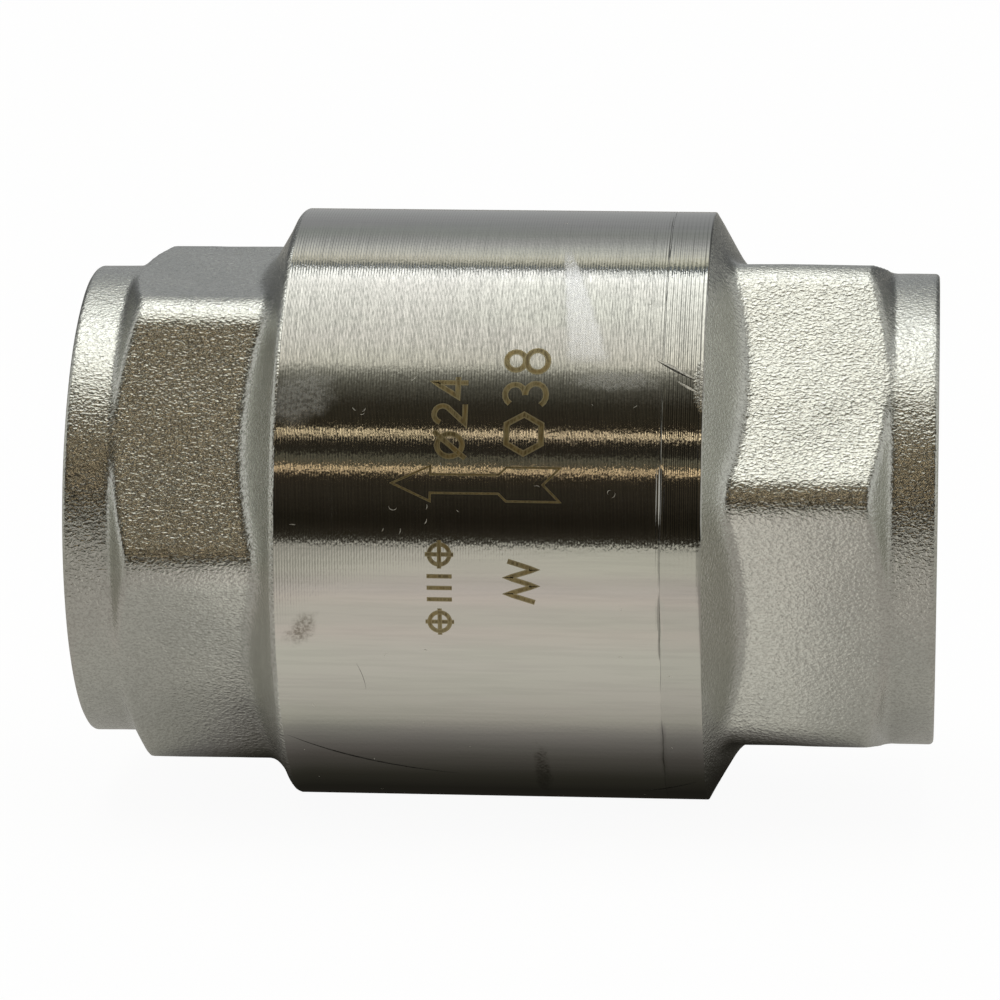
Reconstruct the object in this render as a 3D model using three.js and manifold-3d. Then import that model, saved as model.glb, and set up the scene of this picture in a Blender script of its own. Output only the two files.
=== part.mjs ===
// Spring-loaded in-line check valve, 1 inch, two-piece stainless steel body with female pipe threads.
// Millimetres, +Z up. The flow axis is X: the inlet faces +X, the outlet faces -X.
// The origin is the middle of the valve on the flow axis.
import * as THREE from "three";
import { mergeVertices } from "three/addons/utils/BufferGeometryUtils.js";
import Module from "manifold-3d";

// ---------- driving dimensions ----------

const valve = {
  halfLength: 34,
  collarRadius: 18.9,
  hexAcrossFlats: 38,
  hexCornerRadius: 3.7,
  hexOuterEnd: 30.2, // where the hexagon's flats meet the collar
  barrelRadius: 23.7,
  outletBarrelEnd: -16.8,
  inletBarrelEnd: 16,
  outletBarrelEdge: 0.45, // the barrel's outlet edge is worn soft, its inlet edge is sharp
  inletBarrelEdge: 0.1,
  coneFootRadius: 17, // the cast cones run on under the hexagons to this radius
  seam: 12.9, // where the two castings meet
  seamGap: 0.1,
  slope: Math.tan(THREE.MathUtils.degToRad(30)), // axial run per radial step on every cast cone
};

const outletHexTurn = THREE.MathUtils.degToRad(-5.3); // a corner's height above -Y, about the flow axis
const inletHexTurn = THREE.MathUtils.degToRad(11);

const pipeThread = {
  majorRadius: 16.6245, // G1: 33.249 mm
  minorRadius: 15.1455,
  pitch: 2.309,
  flankAngle: THREE.MathUtils.degToRad(27.5),
  innerEnd: 19.5, // distance of the thread's last turn from the middle of the valve
  mouthRadius: 17.2,
};

const chamber = {
  shoulderRadius: 12.8,
  guideSeat: -17.5,
  guideBoreRadius: 15.2,
  grooveRadius: 16.3,
  grooveStart: -14.7,
  grooveEnd: -13.4,
  boreEnd: -13,
  radius: 18.6,
  gasketStep: 2.4,
  jointRadius: 20.6, // the screwed joint between body and cap, modelled plain
};

const cap = {
  spigotRadius: 20.3,
  spigotNose: 4.2,
  seatLipEnd: 2.6,
  seatLipRadius: 13.2,
  portRadius: 12,
};

const gasket = { start: 2.5, end: 4.1, innerRadius: 18.7, outerRadius: 20.4 };

const guide = {
  ringStart: -17.5,
  ringEnd: -14.8,
  ringInnerRadius: 13,
  ringOuterRadius: 15,
  armWidth: 3,
  armCount: 3,
  hubRadius: 4.6,
  hubEnd: -12,
  boreRadius: 3.9,
};

const bush = {
  flangeStart: -18.3,
  flangeEnd: -17.6,
  flangeRadius: 4.5,
  end: -11.9,
  innerRadius: 3.05,
  outerRadius: 3.8,
};

const circlip = {
  start: -14.5,
  end: -13.6,
  innerRadius: 14,
  outerRadius: 16.1,
  gapAngle: 0.42,
  lugRadius: 1.5,
  lugHole: 0.7,
};

const coil = {
  wire: 1.2,
  meanRadius: 6.2,
  start: -14.6,
  end: -1.6,
  closedTurns: 1,
  activeTurns: 3,
  stepsPerTurn: 16,
};

const stem = {
  radius: 3,
  outletEnd: -19,
  inletEnd: 11.5,
  collarStart: -5.2,
  collarEnd: -1.6,
  collarRadius: 4.6,
  tip: 0.5,
};

const disc = {
  back: -1.5,
  plate: 0.7,
  rimEnd: 2,
  rimInnerRadius: 14,
  radius: 14.6,
  bossRadius: 7,
  bossEnd: 2.3,
  boreRadius: 3.1,
};

const seal = { start: 0.8, end: 2.4, innerRadius: 7.1, outerRadius: 13.9 };
const retainer = { start: 2.5, end: 3.9, innerRadius: 3.1, outerRadius: 10.6 };
const washer = { start: 4, end: 5.2, innerRadius: 3.1, outerRadius: 5.3, cut: 0.9 };
const nut = { start: 5.3, end: 10.3, innerRadius: 3.1, acrossFlats: 10, cornerRadius: 0.2 };

const barrelFacets = 60;
const boreFacets = 40;
const smallFacets = 32;
const threadFacets = 36;
const lugFacets = 12;
const edge = 0.3; // a broken edge on machined pieces
const clear = 2; // how far a cutter runs past what it cuts

// ---------- joining and cutting ----------

const wasm = await Module();
wasm.setup();

// The solid inside a closed geometry. Triangles that have collapsed to a line are left out.
function toSolid(geometry) {
  geometry.deleteAttribute("normal");
  geometry.deleteAttribute("uv");
  const merged = mergeVertices(geometry, 1e-4);
  const corners = [];
  const index = merged.index.array;
  for (let i = 0; i < index.length; i += 3) {
    const [a, b, c] = [index[i], index[i + 1], index[i + 2]];
    if (a !== b && b !== c && c !== a) corners.push(a, b, c);
  }
  const mesh = new wasm.Mesh({
    numProp: 3,
    vertProperties: new Float32Array(merged.attributes.position.array),
    triVerts: new Uint32Array(corners),
  });
  return new wasm.Manifold(mesh);
}

function toGeometry(solid) {
  const mesh = solid.getMesh();
  const geometry = new THREE.BufferGeometry();
  geometry.setAttribute("position", new THREE.BufferAttribute(new Float32Array(mesh.vertProperties), 3));
  geometry.setIndex(new THREE.BufferAttribute(new Uint32Array(mesh.triVerts), 1));
  geometry.computeVertexNormals();
  return geometry;
}

// ---------- basic shapes about the flow axis ----------

// A turned shape. The outline is a list of [x, radius] that runs towards +X on its outer side.
function turned(outline, facets) {
  const points = outline.map(([x, radius]) => new THREE.Vector2(radius, x));
  return toSolid(new THREE.LatheGeometry(points, facets).rotateZ(-Math.PI / 2));
}

function rod(start, end, radius, facets) {
  return turned([[start, 0], [start, radius], [end, radius], [end, 0]], facets);
}

// A flat ring with its outer edges broken.
function ring(start, end, innerRadius, outerRadius, facets, chamfer = 0) {
  const outline = [[start, innerRadius]];
  if (chamfer > 0) {
    outline.push([start, outerRadius - chamfer], [start + chamfer, outerRadius]);
    outline.push([end - chamfer, outerRadius], [end, outerRadius - chamfer]);
  } else {
    outline.push([start, outerRadius], [end, outerRadius]);
  }
  outline.push([end, innerRadius], [start, innerRadius]);
  return turned(outline, facets);
}

// A hexagon bar along X with rounded corners. One corner is turned by `turn` from -Y towards +Z.
function hexBar(start, end, acrossFlats, cornerRadius, turn, cornerSteps) {
  const cornerCentre = (acrossFlats / 2 - cornerRadius) / Math.cos(Math.PI / 6);
  const shape = new THREE.Shape();
  for (let corner = 0; corner < 6; corner += 1) {
    const angle = (corner * Math.PI) / 3;
    const centreX = cornerCentre * Math.cos(angle);
    const centreY = cornerCentre * Math.sin(angle);
    shape.absarc(centreX, centreY, cornerRadius, angle - Math.PI / 6, angle + Math.PI / 6, false);
  }
  const geometry = new THREE.ExtrudeGeometry(shape, {
    depth: end - start,
    bevelEnabled: false,
    curveSegments: cornerSteps,
  });
  // shape x becomes -Y, shape y becomes +Z, the extrusion runs towards -X
  const toFlowAxis = new THREE.Matrix4().makeBasis(
    new THREE.Vector3(0, -1, 0),
    new THREE.Vector3(0, 0, 1),
    new THREE.Vector3(-1, 0, 0),
  );
  geometry.applyMatrix4(toFlowAxis);
  geometry.rotateX(-turn);
  geometry.translate(end, 0, 0);
  return toSolid(geometry);
}

// The inside of a female pipe thread from `start` to `end`: a right-hand screw form, one start.
// Rows of vertices follow the helix, and rows that would pass an end are held at that end.
function threadForm(start, end) {
  const { majorRadius, minorRadius, pitch, flankAngle } = pipeThread;
  const flank = (majorRadius - minorRadius) * Math.tan(flankAngle);
  const flat = (pitch - 2 * flank) / 2;
  const corners = [
    [0, majorRadius],
    [flat, majorRadius],
    [flat + flank, minorRadius],
    [pitch - flank, minorRadius],
  ];
  const turns = Math.ceil((end - start) / pitch) + 2;
  const rows = [];
  for (let turn = -1; turn < turns; turn += 1) {
    for (const [offset, radius] of corners) rows.push([turn * pitch + offset, radius]);
  }
  const heldAt = (row, lead, x) => {
    const next = rows[row + 1];
    const share = (x - start - lead - rows[row][0]) / (next[0] - rows[row][0]);
    return rows[row][1] + share * (next[1] - rows[row][1]);
  };
  const positions = [];
  for (let step = 0; step <= threadFacets; step += 1) {
    const angle = (step % threadFacets) * ((2 * Math.PI) / threadFacets);
    const lead = (pitch * step) / threadFacets;
    const xs = rows.map(([offset]) => start + lead + offset);
    const column = xs.map((x, row) => [x, rows[row][1]]);
    const firstInside = xs.findIndex((x) => x > start);
    const firstPast = xs.findIndex((x) => x > end);
    const startRadius = heldAt(firstInside - 1, lead, start);
    const endRadius = heldAt(firstPast - 1, lead, end);
    column.forEach((point, row) => {
      if (row < firstInside) [point[0], point[1]] = [start, startRadius];
      if (row >= firstPast) [point[0], point[1]] = [end, endRadius];
    });
    for (const [x, radius] of [[start, 0], ...column, [end, 0]]) {
      positions.push(x, radius * Math.cos(angle), radius * Math.sin(angle));
    }
  }
  const rowCount = rows.length + 2;
  const indices = [];
  for (let step = 0; step < threadFacets; step += 1) {
    for (let row = 0; row < rowCount - 1; row += 1) {
      const a = step * rowCount + row;
      const b = a + rowCount;
      indices.push(a, b, a + 1, b, b + 1, a + 1);
    }
  }
  const geometry = new THREE.BufferGeometry();
  geometry.setAttribute("position", new THREE.BufferAttribute(new Float32Array(positions), 3));
  geometry.setIndex(indices);
  return toSolid(geometry);
}

// ---------- the two castings ----------

// The outside of one casting's end, for the outlet (side -1) or the inlet (side +1):
// a cast cone falling from the barrel, the hexagon with its outer chamfer, and the collar.
function castEnd(side, barrelEnd, barrelEdge, hexTurn) {
  const flatRadius = valve.hexAcrossFlats / 2;
  const blankRadius = flatRadius / Math.cos(Math.PI / 6);
  const hexStart = barrelEnd - clear;
  const coneTop = valve.barrelRadius - barrelEdge;
  const coneStart = barrelEnd + barrelEdge;
  const coneEnd = coneStart + (coneTop - valve.coneFootRadius) * valve.slope;
  const chamferFoot = valve.hexOuterEnd - (blankRadius - flatRadius) * valve.slope;
  const hexBlank = outward(side, [
    [hexStart, 0],
    [hexStart, blankRadius],
    [chamferFoot, blankRadius],
    [valve.hexOuterEnd, flatRadius],
    [valve.hexOuterEnd, 0],
  ]);
  const [low, high] = side > 0 ? [hexStart, valve.hexOuterEnd + clear] : [-valve.hexOuterEnd - clear, -hexStart];
  const prism = hexBar(low, high, valve.hexAcrossFlats, valve.hexCornerRadius, hexTurn, 4);
  const cone = outward(side, [
    [hexStart, 0],
    [hexStart, coneTop],
    [coneStart, coneTop],
    [coneEnd, valve.coneFootRadius],
    [coneEnd, 0],
  ]);
  const collar = outward(side, [
    [hexStart, 0],
    [hexStart, valve.collarRadius],
    [valve.halfLength - edge, valve.collarRadius],
    [valve.halfLength, valve.collarRadius - edge],
    [valve.halfLength, 0],
  ]);
  return hexBlank.intersect(prism).add(cone).add(collar);
}

// A turned shape on the outlet or inlet side, its outline given as [distance from the middle, radius].
function outward(side, outline) {
  const points = outline.map(([distance, radius]) => [side * distance, radius]);
  return turned(side > 0 ? points : points.reverse(), barrelFacets);
}

// What is taken out of a casting's end for the pipe: the thread and its flared mouth.
function pipeSocket(side) {
  const outerEnd = valve.halfLength + clear;
  const [low, high] = side > 0 ? [pipeThread.innerEnd, outerEnd] : [-outerEnd, -pipeThread.innerEnd];
  const mouth = outward(side, [
    [valve.halfLength - clear, 0],
    [valve.halfLength - clear, pipeThread.mouthRadius - clear],
    [valve.halfLength + clear, pipeThread.mouthRadius + clear],
    [valve.halfLength + clear, 0],
  ]);
  return threadForm(low, high).add(mouth);
}

function outletBody() {
  const jointFace = valve.seam - valve.seamGap / 2;
  const barrel = turned(
    [
      [valve.outletBarrelEnd - valve.outletBarrelEdge, 0],
      [valve.outletBarrelEnd - valve.outletBarrelEdge, valve.barrelRadius - valve.outletBarrelEdge],
      [valve.outletBarrelEnd, valve.barrelRadius],
      [jointFace, valve.barrelRadius],
      [jointFace, 0],
    ],
    barrelFacets,
  );
  const bore = turned(
    [
      [-pipeThread.innerEnd - clear, 0],
      [-pipeThread.innerEnd - clear, chamber.shoulderRadius],
      [chamber.guideSeat, chamber.shoulderRadius],
      [chamber.guideSeat, chamber.guideBoreRadius],
      [chamber.grooveStart, chamber.guideBoreRadius],
      [chamber.grooveStart, chamber.grooveRadius],
      [chamber.grooveEnd, chamber.grooveRadius],
      [chamber.grooveEnd, chamber.guideBoreRadius],
      [chamber.boreEnd, chamber.guideBoreRadius],
      [chamber.boreEnd + chamber.radius - chamber.guideBoreRadius, chamber.radius],
      [chamber.gasketStep, chamber.radius],
      [chamber.gasketStep, chamber.jointRadius],
      [jointFace + clear, chamber.jointRadius],
      [jointFace + clear, 0],
    ],
    boreFacets,
  );
  return castEnd(-1, -valve.outletBarrelEnd, valve.outletBarrelEdge, outletHexTurn)
    .add(barrel)
    .subtract(bore)
    .subtract(pipeSocket(-1));
}

function inletCap() {
  const jointFace = valve.seam + valve.seamGap / 2;
  const shell = turned(
    [
      [cap.seatLipEnd, 0],
      [cap.seatLipEnd, cap.seatLipRadius],
      [cap.spigotNose, cap.seatLipRadius],
      [cap.spigotNose, cap.spigotRadius],
      [jointFace, cap.spigotRadius],
      [jointFace, valve.barrelRadius],
      [valve.inletBarrelEnd, valve.barrelRadius],
      [valve.inletBarrelEnd + valve.inletBarrelEdge, valve.barrelRadius - valve.inletBarrelEdge],
      [valve.inletBarrelEnd + valve.inletBarrelEdge, 0],
    ],
    barrelFacets,
  );
  const port = rod(cap.seatLipEnd - clear, pipeThread.innerEnd + clear, cap.portRadius, boreFacets);
  return castEnd(1, valve.inletBarrelEnd, valve.inletBarrelEdge, inletHexTurn)
    .add(shell)
    .subtract(port)
    .subtract(pipeSocket(1));
}

// ---------- the guide ----------

// A rectangular arm from the hub to the ring, turned about the flow axis.
function guideArm(angle) {
  const reach = (guide.ringInnerRadius + guide.ringOuterRadius) / 2;
  const arm = new THREE.BoxGeometry(guide.ringEnd - guide.ringStart, guide.armWidth, reach);
  arm.translate((guide.ringStart + guide.ringEnd) / 2, 0, reach / 2);
  arm.rotateX(angle);
  return toSolid(arm);
}

function stemGuide() {
  let spider = ring(
    guide.ringStart,
    guide.ringEnd,
    guide.ringInnerRadius,
    guide.ringOuterRadius,
    boreFacets,
  );
  spider = spider.add(rod(guide.ringStart, guide.hubEnd, guide.hubRadius, smallFacets));
  for (let arm = 0; arm < guide.armCount; arm += 1) {
    spider = spider.add(guideArm((arm * 2 * Math.PI) / guide.armCount));
  }
  return spider.subtract(rod(guide.ringStart - clear, guide.hubEnd + clear, guide.boreRadius, smallFacets));
}

function guideBush() {
  return turned(
    [
      [bush.flangeStart, bush.innerRadius],
      [bush.flangeStart, bush.flangeRadius],
      [bush.flangeEnd, bush.flangeRadius],
      [bush.flangeEnd, bush.outerRadius],
      [bush.end, bush.outerRadius],
      [bush.end, bush.innerRadius],
      [bush.flangeStart, bush.innerRadius],
    ],
    smallFacets,
  );
}

// An internal retaining ring, open at the top, with a drilled lug on each side of the opening.
function guideCirclip() {
  const middle = (circlip.start + circlip.end) / 2;
  const thickness = circlip.end - circlip.start;
  let clip = ring(circlip.start, circlip.end, circlip.innerRadius, circlip.outerRadius, boreFacets);
  const openingWidth = 2 * circlip.outerRadius * Math.sin(circlip.gapAngle / 2);
  const opening = new THREE.BoxGeometry(thickness + clear, openingWidth, 2 * clear);
  opening.translate(middle, 0, (circlip.innerRadius + circlip.outerRadius) / 2);
  clip = clip.subtract(toSolid(opening));
  for (const side of [-1, 1]) {
    const angle = side * (circlip.gapAngle / 2 + circlip.lugRadius / circlip.innerRadius);
    const reach = circlip.innerRadius - circlip.lugHole / 2;
    const place = new THREE.Matrix4().makeTranslation(0, reach * Math.sin(angle), reach * Math.cos(angle));
    const lug = lugAt(place, circlip.start, circlip.end, circlip.lugRadius);
    const eye = lugAt(place, circlip.start - clear, circlip.end + clear, circlip.lugHole);
    clip = clip.add(lug).subtract(eye);
  }
  return clip;
}

// A short rod along X moved off the flow axis.
function lugAt(place, start, end, radius) {
  const outline = [[start, 0], [start, radius], [end, radius], [end, 0]];
  const points = outline.map(([x, r]) => new THREE.Vector2(r, x));
  return toSolid(new THREE.LatheGeometry(points, lugFacets).rotateZ(-Math.PI / 2).applyMatrix4(place));
}

// ---------- the spring ----------

// The wire's centre line: a closed coil at each end and evenly open coils between.
class SpringLine extends THREE.Curve {
  getPoint(share, target = new THREE.Vector3()) {
    const turns = 2 * coil.closedTurns + coil.activeTurns;
    const turn = share * turns;
    const closedPitch = coil.wire * 1.04;
    const length = coil.end - coil.start - coil.wire;
    const openPitch = (length - 2 * coil.closedTurns * closedPitch) / coil.activeTurns;
    const opened = THREE.MathUtils.clamp(turn - coil.closedTurns, 0, coil.activeTurns);
    const x = coil.start + coil.wire / 2 + (turn - opened) * closedPitch + opened * openPitch;
    const angle = turn * 2 * Math.PI;
    return target.set(x, coil.meanRadius * Math.cos(angle), coil.meanRadius * Math.sin(angle));
  }
}

function spring() {
  const section = new THREE.Shape().absarc(0, 0, coil.wire / 2, 0, 2 * Math.PI, false);
  const turns = 2 * coil.closedTurns + coil.activeTurns;
  return toSolid(
    new THREE.ExtrudeGeometry(section, {
      steps: coil.stepsPerTurn * turns,
      curveSegments: 3,
      extrudePath: new SpringLine(),
    }),
  );
}

// ---------- the poppet ----------

function poppetStem() {
  return turned(
    [
      [stem.outletEnd, 0],
      [stem.outletEnd, stem.radius - stem.tip],
      [stem.outletEnd + stem.tip, stem.radius],
      [stem.collarStart, stem.radius],
      [stem.collarStart, stem.collarRadius],
      [stem.collarEnd, stem.collarRadius],
      [stem.collarEnd, stem.radius],
      [stem.inletEnd - stem.tip, stem.radius],
      [stem.inletEnd, stem.radius - stem.tip],
      [stem.inletEnd, 0],
    ],
    smallFacets,
  );
}

function poppetDisc() {
  return turned(
    [
      [disc.back, disc.boreRadius],
      [disc.back, disc.radius - edge],
      [disc.back + edge, disc.radius],
      [disc.rimEnd, disc.radius],
      [disc.rimEnd, disc.rimInnerRadius],
      [disc.plate, disc.rimInnerRadius],
      [disc.plate, disc.bossRadius],
      [disc.bossEnd, disc.bossRadius],
      [disc.bossEnd, disc.boreRadius],
      [disc.back, disc.boreRadius],
    ],
    boreFacets,
  );
}

function lockWasher() {
  const cut = new THREE.BoxGeometry(clear + washer.end - washer.start, washer.cut, 2 * washer.outerRadius);
  cut.translate((washer.start + washer.end) / 2, 0, washer.outerRadius);
  const whole = ring(washer.start, washer.end, washer.innerRadius, washer.outerRadius, smallFacets);
  return whole.subtract(toSolid(cut));
}

// A hexagon nut with both ends turned down to a 30 degree chamfer.
function stemNut() {
  const cornerRadius = nut.acrossFlats / 2 / Math.cos(Math.PI / 6);
  const chamfer = (cornerRadius - nut.acrossFlats / 2) * valve.slope;
  const blank = turned(
    [
      [nut.start, nut.innerRadius],
      [nut.start, nut.acrossFlats / 2],
      [nut.start + chamfer, cornerRadius],
      [nut.end - chamfer, cornerRadius],
      [nut.end, nut.acrossFlats / 2],
      [nut.end, nut.innerRadius],
      [nut.start, nut.innerRadius],
    ],
    smallFacets,
  );
  return blank.intersect(hexBar(nut.start - clear, nut.end + clear, nut.acrossFlats, nut.cornerRadius, 0, 1));
}

// ---------- the assembly ----------

const castStainless = { color: 0xa9a6a0, roughness: 0.42, metalness: 1 };
const turnedStainless = { color: 0xb8b6b2, roughness: 0.22, metalness: 1 };
const springStainless = { color: 0x9b9995, roughness: 0.3, metalness: 1 };
const whitePtfe = { color: 0xece9e2, roughness: 0.5, metalness: 0 };

const pieces = [
  ["outlet_body", outletBody, castStainless],
  ["inlet_cap", inletCap, castStainless],
  [
    "body_gasket",
    () => ring(gasket.start, gasket.end, gasket.innerRadius, gasket.outerRadius, boreFacets),
    whitePtfe,
  ],
  ["stem_guide", stemGuide, turnedStainless],
  ["guide_bush", guideBush, whitePtfe],
  ["guide_circlip", guideCirclip, springStainless],
  ["spring", spring, springStainless],
  ["stem", poppetStem, turnedStainless],
  ["disc", poppetDisc, turnedStainless],
  [
    "seat_seal",
    () => ring(seal.start, seal.end, seal.innerRadius, seal.outerRadius, boreFacets),
    whitePtfe,
  ],
  [
    "seal_retainer",
    () => ring(retainer.start, retainer.end, retainer.innerRadius, retainer.outerRadius, smallFacets, edge),
    turnedStainless,
  ],
  ["lock_washer", lockWasher, springStainless],
  ["stem_nut", stemNut, turnedStainless],
];

const valveGroup = new THREE.Group();
for (const [name, make, look] of pieces) {
  const mesh = new THREE.Mesh(toGeometry(make()), new THREE.MeshStandardMaterial(look));
  mesh.name = name;
  valveGroup.add(mesh);
}

export default valveGroup;
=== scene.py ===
"""Looks of the in-line spring check valve: fine castings, inner pieces, etched marks, materials and studio.

Lengths in this script are millimetres along the flow axis X and around it, and MM turns them into metres.
An angle round the flow axis is counted from the front (-Y) upwards, so 90 degrees is the top (+Z).
"""
import math

import bmesh
import bpy
import numpy as np
from mathutils import Matrix, Vector, noise


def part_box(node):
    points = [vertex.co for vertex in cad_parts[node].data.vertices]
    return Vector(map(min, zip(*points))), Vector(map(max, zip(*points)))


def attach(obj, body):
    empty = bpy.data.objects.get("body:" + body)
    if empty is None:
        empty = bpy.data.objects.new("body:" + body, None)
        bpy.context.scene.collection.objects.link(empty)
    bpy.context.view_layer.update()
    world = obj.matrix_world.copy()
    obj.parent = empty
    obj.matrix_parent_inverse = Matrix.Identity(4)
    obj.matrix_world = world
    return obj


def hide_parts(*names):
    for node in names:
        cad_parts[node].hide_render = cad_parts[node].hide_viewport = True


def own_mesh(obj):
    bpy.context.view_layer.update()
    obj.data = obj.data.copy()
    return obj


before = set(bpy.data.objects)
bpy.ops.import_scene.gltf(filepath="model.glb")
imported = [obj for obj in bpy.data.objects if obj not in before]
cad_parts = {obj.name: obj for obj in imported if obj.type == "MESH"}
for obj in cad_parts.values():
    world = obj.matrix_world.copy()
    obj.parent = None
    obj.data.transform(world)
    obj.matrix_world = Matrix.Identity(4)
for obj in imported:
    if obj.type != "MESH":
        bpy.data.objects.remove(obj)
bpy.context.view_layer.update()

MM = 0.001


# ---------- dimensions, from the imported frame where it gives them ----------

def span(node):
    """Lowest and highest corner of a CAD node, in millimetres."""
    low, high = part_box(node)
    return low / MM, high / MM


OUTLET_HIGH = span("outlet_body")[1]
CAP_LOW, CAP_HIGH = span("inlet_cap")

HALF_LENGTH = CAP_HIGH.x
BARREL_RADIUS = OUTLET_HIGH.z
BARREL_OUTLET_END = -16.8
BARREL_INLET_END = 16.0
HALF_GAP = 0.05
SEAM = OUTLET_HIGH.x + HALF_GAP
SEAM_DEPTH = 0.3

COLLAR_RADIUS = 18.9
COLLAR_EDGE = 0.35
HEX_FLAT_RADIUS = 19.0
HEX_CORNER_RADIUS = 3.7
HEX_OUTER_END = 30.2
OUTLET_HEX_TURN = math.radians(-5.3)
INLET_HEX_TURN = math.radians(11)
CAST_SLOPE = math.tan(math.radians(30))
CAST_FILLET = 1.3
CORNER_SOFTNESS = 0.5

THREAD_MAJOR = 16.6245
THREAD_MINOR = 15.1455
THREAD_PITCH = 2.309
THREAD_FLAT = 0.167
THREAD_INNER_END = 19.5
THREAD_RUNOUT_START = 0.3
THREAD_RUNOUT = 1.4
THREAD_CLEARANCE = 0.02
MOUTH_RADIUS = 17.2
BROKEN_EDGE = 0.12

STEM_RADIUS = 3.0
STEM_COLLAR_RADIUS = 4.6
STEM_THREAD_ROOT = 2.45
STEM_THREAD_START = 2.4
POPPET_BORE = 3.1

BODY_COLUMNS = 420
SMALL_COLUMNS = 160
ROWS_PER_TURN = 24
CARVED_WELD = 1e-6


# ---------- meshes that go round the flow axis ----------

def around(columns):
    """The angle of each column of vertices."""
    return np.arange(columns) * (2 * math.pi / columns)


def soften(outline, radius, steps=4, closed=True):
    """The outline [(x, radius), ...] with its corners rounded, but for those on the axis. A side's two
    corners never meet, since each takes less than half of it."""
    room = 2.2
    points = [np.array(p, float) for p in outline]
    last = len(points) - 1
    softened = []
    for i, corner in enumerate(points):
        if corner[1] == 0 or (not closed and i in (0, last)):
            softened.append(corner)
            continue
        before = points[i - 1] - corner
        after = points[(i + 1) % len(points)] - corner
        reach = min(radius, np.linalg.norm(before) / room, np.linalg.norm(after) / room)
        start = corner + before / np.linalg.norm(before) * reach
        end = corner + after / np.linalg.norm(after) * reach
        for t in np.linspace(0, 1, steps + 1):
            softened.append((1 - t) ** 2 * start + 2 * t * (1 - t) * corner + t * t * end)
    return [(x, r) for x, r in softened]


def tube_faces(rings, sides, closed, capped=False):
    """Faces of a tube of rings of vertices. Closed joins its last ring to its first one."""
    ring = np.arange(rings if closed else rings - 1)[:, None]
    here, following = ring * sides, (ring + 1) % rings * sides
    side = np.arange(sides)[None, :]
    beside = (side + 1) % sides
    faces = np.stack([here + side, here + beside, following + beside, following + side], axis=2)
    caps = [range(sides), range((rings - 1) * sides, rings * sides)] if capped else []
    return faces.reshape(-1, 4).tolist() + [list(cap) for cap in caps]


def new_mesh(name, points, faces):
    """A mesh from points in metres."""
    mesh = bpy.data.meshes.new(name)
    mesh.from_pydata(points, [], faces)
    return mesh


def wrapped_mesh(name, rows, columns=SMALL_COLUMNS, closed=True):
    """A mesh of rows round the flow axis. A row is (x, radius), each a number or one value per column.
    Where a mesh has several materials, each row also holds the number of the one that follows it."""
    angles = around(columns)
    xs, radii = (
        np.array([np.broadcast_to(np.asarray(row[k], float), columns) for row in rows]) for k in (0, 1)
    )
    points = np.stack([xs, -radii * np.cos(angles), radii * np.sin(angles)], axis=2) * MM
    mesh = new_mesh(name, points.reshape(-1, 3).tolist(), tube_faces(len(rows), columns, closed))
    if len(rows[0]) == 3:
        mesh.polygons.foreach_set("material_index", np.repeat([row[2] for row in rows], columns))
    return mesh


def close_mesh(mesh, weld=1e-8, sharp=35):
    """Merges doubled vertices, points the faces outwards and shades the mesh smooth but for sharp edges
    and the borders between materials."""
    work = bmesh.new()
    work.from_mesh(mesh)
    bmesh.ops.remove_doubles(work, verts=work.verts, dist=weld)
    bmesh.ops.recalc_face_normals(work, faces=work.faces)
    limit = math.radians(sharp)
    for face in work.faces:
        face.smooth = True
    for edge in work.edges:
        same = len({face.material_index for face in edge.link_faces}) == 1
        edge.smooth = same and edge.calc_face_angle(0.0) < limit
    work.to_mesh(mesh)
    work.free()
    return mesh


def new_object(name, data):
    """An object of a mesh or a camera, in the scene."""
    made = bpy.data.objects.new(name, data)
    bpy.context.scene.collection.objects.link(made)
    return made


def place(mesh, body, slot, *nodes, material=None):
    """Makes the mesh a piece of the valve that rides on a body and stands for CAD nodes. It has the
    materials of its slot, or one of its own."""
    piece = new_object(mesh.name, mesh)
    for look in [material] if material else LOOKS[slot]:
        mesh.materials.append(look)
    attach(piece, body)
    if nodes:
        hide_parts(*nodes)
    return piece


def carved(name, first, *steps):
    """A mesh made from the first one by steps of ("UNION" or "DIFFERENCE", mesh)."""
    work = new_object(name, first)
    used = [work]
    for operation, mesh in steps:
        used.append(new_object("tool", mesh))
        cut = work.modifiers.new("carve", "BOOLEAN")
        cut.operation = operation
        cut.solver = "EXACT"
        cut.object = used[-1]
    finished = bpy.data.meshes.new_from_object(work.evaluated_get(bpy.context.evaluated_depsgraph_get()))
    for thing in used:
        bpy.data.objects.remove(thing)
    finished.name = name
    return finished


def turned_piece(node, rows, body, slot, columns=SMALL_COLUMNS, closed=True, sharp=35):
    """A turned piece that stands for a CAD node."""
    mesh = close_mesh(wrapped_mesh(node + "_fine", rows, columns, closed=closed), sharp=sharp)
    place(mesh, body, slot, node)


def carved_piece(node, edge, body, slot, first, *steps):
    """A carved piece that stands for a CAD node, with the sharpness taken off its edges."""
    mesh = close_mesh(carved(node + "_fine", first, *steps), CARVED_WELD)
    bevel = place(mesh, body, slot, node).modifiers.new("broken edges", "BEVEL")
    bevel.width = edge * MM
    bevel.segments = 2
    bevel.limit_method = "ANGLE"
    bevel.angle_limit = math.radians(40)


def ring_mesh(name, start, end, inner, outer, softness=0.0):
    """A ring with a rectangular section, its edges rounded by the softness."""
    outline = [(start, inner), (start, outer), (end, outer), (end, inner)]
    rows = soften(outline, softness) if softness else outline
    return close_mesh(wrapped_mesh(name, rows))


def rod_mesh(start, end, radius, y, z):
    """A plain rod along X, off the flow axis by (y, z)."""
    rows = [(start, 0), (start, radius), (end, radius), (end, 0)]
    mesh = close_mesh(wrapped_mesh("rod", rows, 48, closed=False))
    mesh.transform(Matrix.Translation((0, y * MM, z * MM)))
    return mesh


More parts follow.
